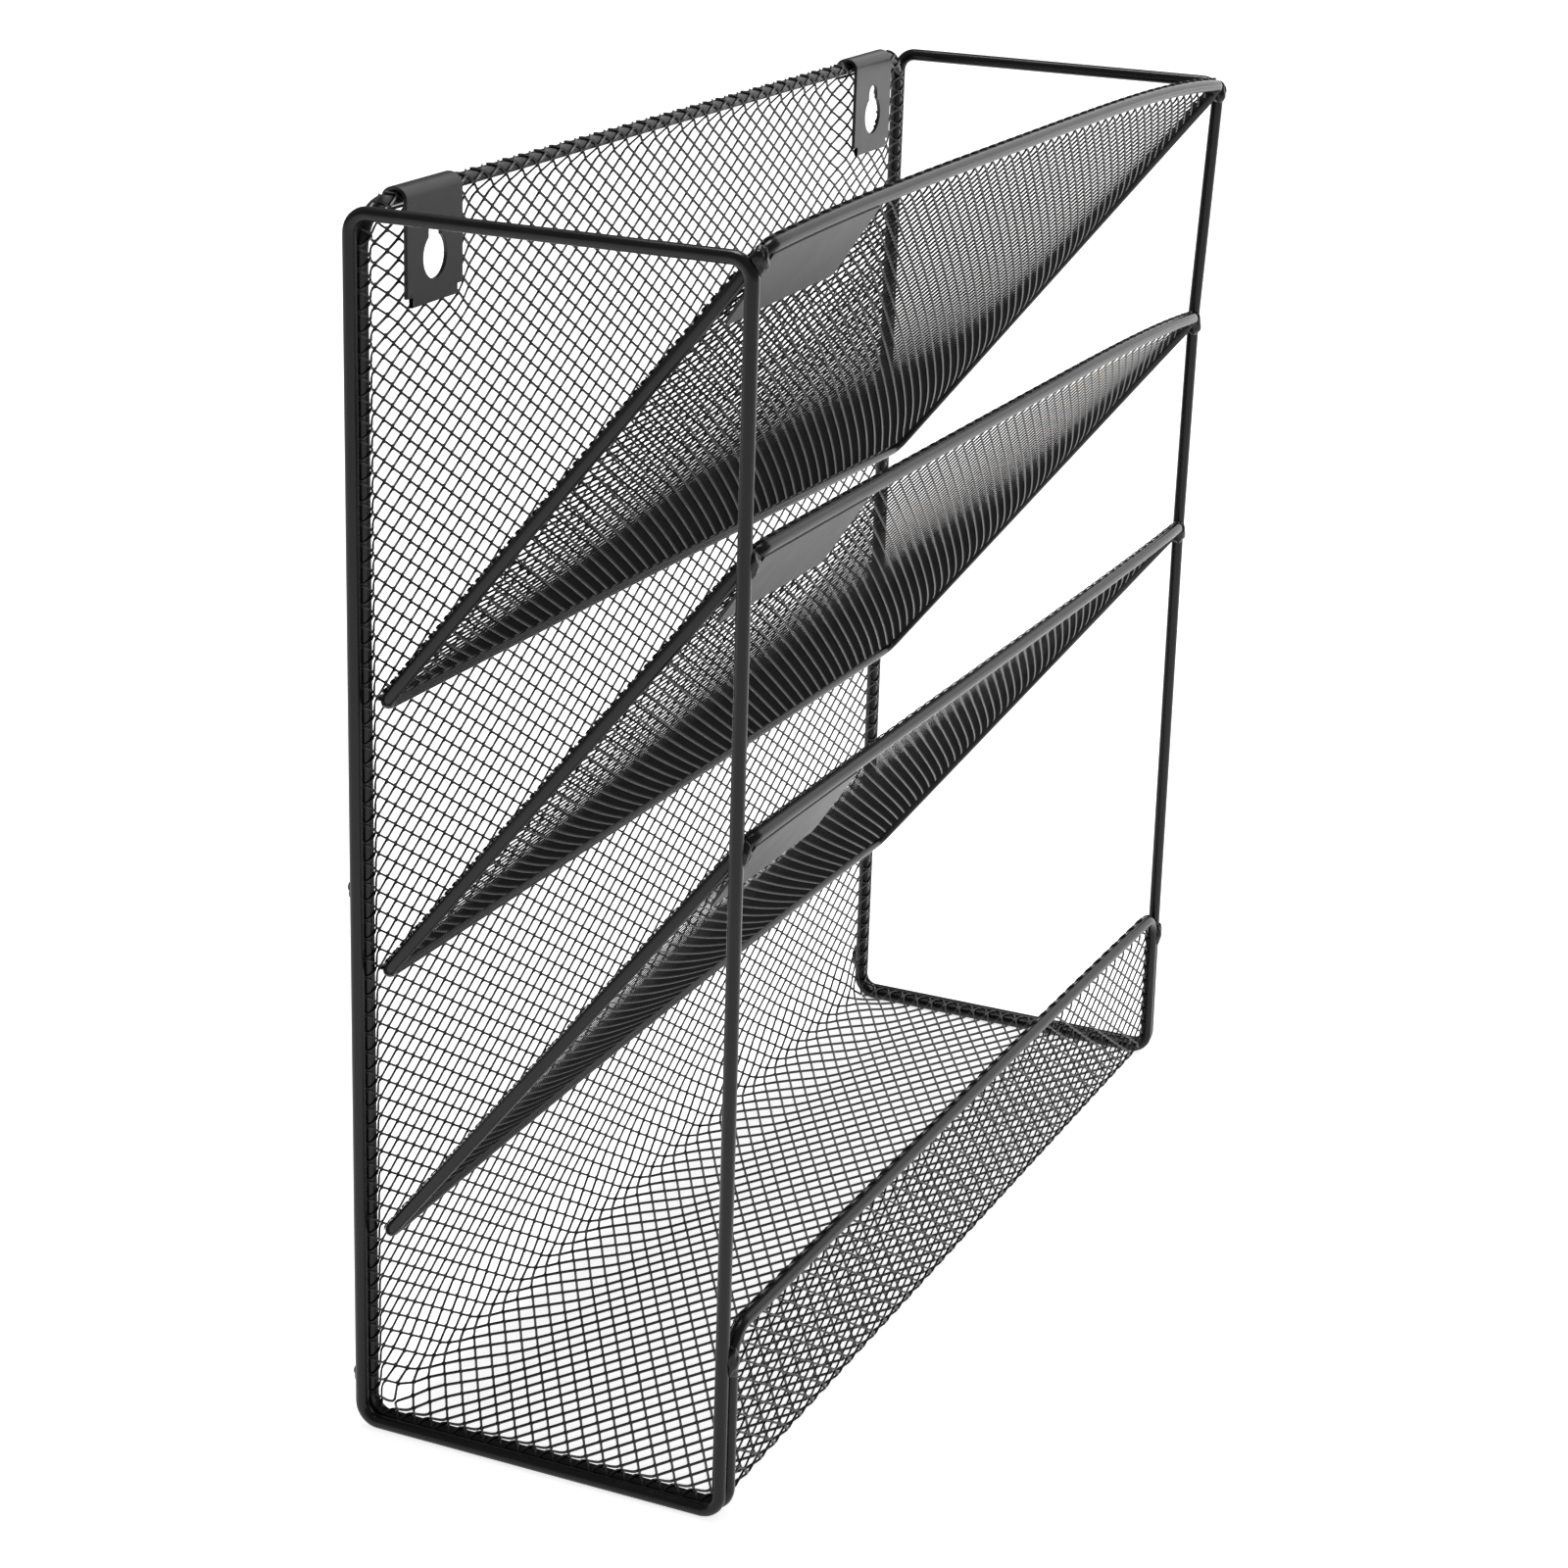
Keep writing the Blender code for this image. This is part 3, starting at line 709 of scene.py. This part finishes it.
def fill_tab(bm, rack, low, high):
    """A strip hooked closely over the top rail, between the front, back and foot of its box."""
    y_mid = (low.y + high.y) / 2
    outer = (high.y - low.y) / 2
    rise = rack.r + TAB_FOLD_GAP + TAB_T
    grids = []
    for inset in (0.0, TAB_T):
        profile = [(y_mid - outer + inset, low.z)]
        for turn in np.linspace(math.pi, 0.0, 17):
            y = y_mid + (outer - inset) * math.cos(turn)
            profile.append((y, rack.z_top + (rise - inset) * math.sin(turn)))
        profile.append((y_mid + outer - inset, high.z - TAB_BACK_LENGTH))
        grids.append([[(x, y, z) for x in (low.x, high.x)] for y, z in profile])
    fill_grid_solid(bm, *grids)
    chamfer_low_corners(bm, low.z)


def make_tabs(rack, paint):
    """The two hang tabs with their keyholes."""
    for side, x in rack.tab_x.items():
        low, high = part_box(f"hang_tab_{side}")
        tab = solid_from(f"tab_{side}", lambda bm: fill_tab(bm, rack, low, high))
        outline = keyhole_outline(rack, x)
        reach = (low.y - TAB_T, low.y + 2 * TAB_T)
        cutter = solid_from("cutter", lambda bm: fill_prism(bm, outline, *reach))
        boolean = tab.modifiers.new("keyhole", "BOOLEAN")
        boolean.operation = "DIFFERENCE"
        boolean.object = cutter
        bpy.context.view_layer.update()
        cut = bpy.data.meshes.new_from_object(tab.evaluated_get(bpy.context.evaluated_depsgraph_get()))
        tab.modifiers.clear()
        tab.data = cut
        bpy.data.objects.remove(cutter, do_unlink=True)
        soften(tab, 0.2 * MM, 2)
        adopt(tab, "tab_paint", paint, f"hang_tab_{side}")


def fill_blob(bm, radii, seed):
    """A lumpy drop of weld metal."""
    bmesh.ops.create_icosphere(bm, subdivisions=4, radius=1.0)
    (coarse_scale, coarse_share), (fine_scale, fine_share) = WELD_LUMPS
    for vert in bm.verts:
        coarse = noise.noise(vert.co * coarse_scale + Vector((seed, 0.0, 0.0)))
        fine = noise.noise(vert.co * fine_scale + Vector((0.0, seed, 0.0)))
        vert.co *= 1 + coarse_share * coarse + fine_share * fine
        vert.co = Vector(size * part for size, part in zip(radii, vert.co))


def make_weld(rack, node, settle, inward, radii, paint):
    """A fused weld drop over a CAD bead, sunk towards the wires that it joins."""
    place = np.array([middle(node)])
    place[:, 1] += inward
    place = settle(place)[0]
    seed = 1.0 + len(node) + 3.1 * place[2] / rack.z_top + place[0]
    drop = solid_from(f"{node}_drop", lambda bm: fill_blob(bm, radii, seed))
    drop.location = place
    drop.data.shade_smooth()
    adopt(drop, "weld_paint", paint, node)


def make_welds(rack, paint):
    """Weld drops at the pockets' front rims, at the lip and on the back uprights."""
    for side in ("left", "right"):
        for number in range(1, POCKET_COUNT + 1):
            make_weld(rack, f"weld_pocket_{number}_{side}", lambda at: settle_pocket(rack, number, at),
                      FRONT_WELD_SINK, POCKET_WELD, paint)
        make_weld(rack, f"weld_lip_{side}", lambda at: settle_body(rack, at), FRONT_WELD_SINK, LIP_WELD,
                  paint)
        for level in ("upper", "lower"):
            make_weld(rack, f"weld_back_{level}_{side}", lambda at: at, BACK_WELD_SINK, BACK_WELD, paint)


# ---------------------------------------------------------------- materials


def black_paint(name, base, roughness, bump_scale, ior):
    """Satin black powder coat: an even dark colour with fine orange peel and slight gloss changes."""
    material = bpy.data.materials.new(name)
    material.use_nodes = True
    nodes = material.node_tree.nodes
    links = material.node_tree.links
    shader = nodes["Principled BSDF"]
    shader.inputs["IOR"].default_value = ior
    where = nodes.new("ShaderNodeTexCoord")
    tone = nodes.new("ShaderNodeTexNoise")
    tone.inputs["Scale"].default_value = TONE_SCALE
    tone.inputs["Detail"].default_value = 3.0
    ramp = nodes.new("ShaderNodeMapRange")
    ramp.inputs["To Min"].default_value = roughness - GLOSS_CHANGE
    ramp.inputs["To Max"].default_value = roughness + GLOSS_CHANGE
    shade = nodes.new("ShaderNodeMix")
    shade.data_type = "RGBA"
    shade.inputs["A"].default_value = (base * 0.8, base * 0.8, base * 0.82, 1.0)
    shade.inputs["B"].default_value = (base * 1.25, base * 1.25, base * 1.28, 1.0)
    peel = nodes.new("ShaderNodeTexNoise")
    peel.inputs["Scale"].default_value = bump_scale
    peel.inputs["Detail"].default_value = 2.0
    bump = nodes.new("ShaderNodeBump")
    bump.inputs["Strength"].default_value = 0.12
    bump.inputs["Distance"].default_value = PEEL_HEIGHT
    links.new(where.outputs["Object"], tone.inputs["Vector"])
    links.new(where.outputs["Object"], peel.inputs["Vector"])
    links.new(tone.outputs["Fac"], ramp.inputs["Value"])
    links.new(ramp.outputs["Result"], shader.inputs["Roughness"])
    links.new(tone.outputs["Fac"], shade.inputs["Factor"])
    links.new(shade.outputs["Result"], shader.inputs["Base Color"])
    links.new(peel.outputs["Fac"], bump.inputs["Height"])
    links.new(bump.outputs["Normal"], shader.inputs["Normal"])
    return material


# ---------------------------------------------------------------- stage


def make_stage():
    """A plain white floor."""
    bpy.ops.mesh.primitive_plane_add(size=FLOOR_SIZE, location=(0.0, 0.0, 0.0))
    floor = bpy.context.object
    floor.name = "floor"
    material = bpy.data.materials.new("floor_white")
    material.use_nodes = True
    shader = material.node_tree.nodes["Principled BSDF"]
    shader.inputs["Base Color"].default_value = FLOOR_COLOUR
    shader.inputs["Roughness"].default_value = 0.9
    shader.inputs["Emission Color"].default_value = WHITE
    shader.inputs["Emission Strength"].default_value = FLOOR_GLOW
    floor.data.materials.append(material)


def add_area(name, place, target, size, power):
    """A square soft light at a place, facing a target."""
    light = bpy.data.lights.new(name, "AREA")
    light.energy = power
    light.size = size
    lamp = link(name, light)
    lamp.location = place
    lamp.rotation_euler = (Vector(target) - Vector(place)).to_track_quat("-Z", "Y").to_euler()


def make_lights():
    """Soft light from above and from the sides, in a pale room."""
    world = bpy.data.worlds.new("room")
    bpy.context.scene.world = world
    world.use_nodes = True
    background = world.node_tree.nodes["Background"]
    background.inputs["Color"].default_value = WHITE
    background.inputs["Strength"].default_value = ROOM_STRENGTH
    for light in AREA_LIGHTS:
        add_area(*light)


def make_camera():
    """The camera at the object's left front, a little above it."""
    data = bpy.data.cameras.new("camera")
    data.lens = CAMERA_LENS
    data.sensor_width = 36.0
    camera = link("camera", data)
    azimuth = math.radians(CAMERA_AZIMUTH)
    elevation = math.radians(CAMERA_ELEVATION)
    back = Vector((math.sin(azimuth) * math.cos(elevation), -math.cos(azimuth) * math.cos(elevation),
                   math.sin(elevation)))
    aim = (-back).to_track_quat("-Z", "Y").to_matrix()
    roll = Matrix.Rotation(math.radians(CAMERA_ROLL), 3, "Z")
    camera.matrix_world = Matrix.Translation(CAMERA_PLACE) @ (aim @ roll).to_4x4()
    bpy.context.scene.camera = camera
    bpy.context.scene.view_settings.view_transform = "Standard"


def main():
    """Build every piece, the stage, the lights and the camera."""
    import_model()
    rack = Rack()
    wire_paint = black_paint("wire_black", *WIRE_PAINT)
    mesh_paint = black_paint("mesh_black", *MESH_PAINT)
    sheet_paint = black_paint("sheet_black", *SHEET_PAINT)
    make_side_loops(rack, wire_paint)
    make_body_rim(rack, wire_paint)
    make_body_mesh(rack, mesh_paint)
    for number in range(1, POCKET_COUNT + 1):
        make_pocket(rack, number, wire_paint, mesh_paint, sheet_paint)
    make_tabs(rack, sheet_paint)
    make_welds(rack, wire_paint)
    make_stage()
    make_lights()
    make_camera()
    bpy.context.view_layer.update()


main()
